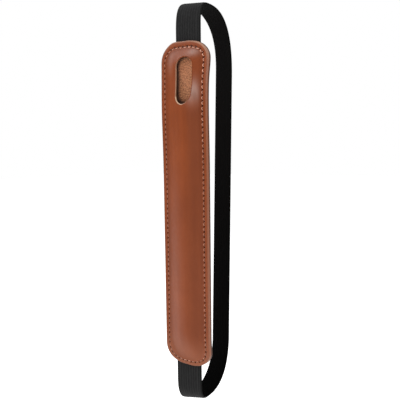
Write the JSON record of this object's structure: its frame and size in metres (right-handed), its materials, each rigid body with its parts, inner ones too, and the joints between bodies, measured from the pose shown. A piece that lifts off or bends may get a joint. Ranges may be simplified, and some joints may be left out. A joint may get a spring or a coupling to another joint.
{
  "type": "fountain pen case",
  "caption": "Stitched leather sleeve for one fountain pen, with a window mouth near one end and a wide elastic loop behind it that straps it to a notebook cover.",
  "frame": {"origin": "middle of the sleeve's flat back face, which lies on the notebook cover", "axes": "+Z along the sleeve toward its window end, +Y out of the back face toward the notebook and the rear of the loop, -Y out of the domed front"},
  "size_m": [0.0342, 0.0486, 0.2488],
  "materials": {
    "leather": "smooth satin brown leather with fine grain, painted brown edges",
    "lining": "matt tan woven ribbed lining cloth",
    "core": "matt bonded leather board, hidden between the layers",
    "thread": "twisted brown polyester sewing thread with a slight sheen",
    "elastic": "matt black woven elastic tape with fine lengthwise ribs"
  },
  "bodies": {
    "sleeve": {"back_leather": "leather", "core_board": "core", "back_lining": "lining", "front_lining": "lining", "front_leather": "leather", "front_seam_thread": "thread", "back_seam_thread": "thread", "band_top_tab": "elastic", "band_bottom_tab": "elastic", "band_top_stub": "elastic", "band_bottom_stub": "elastic", "band_rear_top_run": "elastic", "band_rear_bottom_run": "elastic", "band_rear_middle_run": "elastic"},
    "loop_top": {"band_top_bend": "elastic"},
    "loop_bottom": {"band_bottom_bend": "elastic"}
  },
  "joints": [
    {"name": "loop_top_stretch", "type": "slide", "parent": "sleeve", "child": "loop_top", "axis": [0, 0, 1], "range_m": [0, 0.012], "stiffness_N_per_m": 60, "deforming": ["band_top_stub", "band_rear_top_run"]},
    {"name": "loop_bottom_stretch", "type": "slide", "parent": "sleeve", "child": "loop_bottom", "axis": [0, 0, -1], "range_m": [0, 0.012], "stiffness_N_per_m": 60, "deforming": ["band_bottom_stub", "band_rear_bottom_run"]}
  ]
}
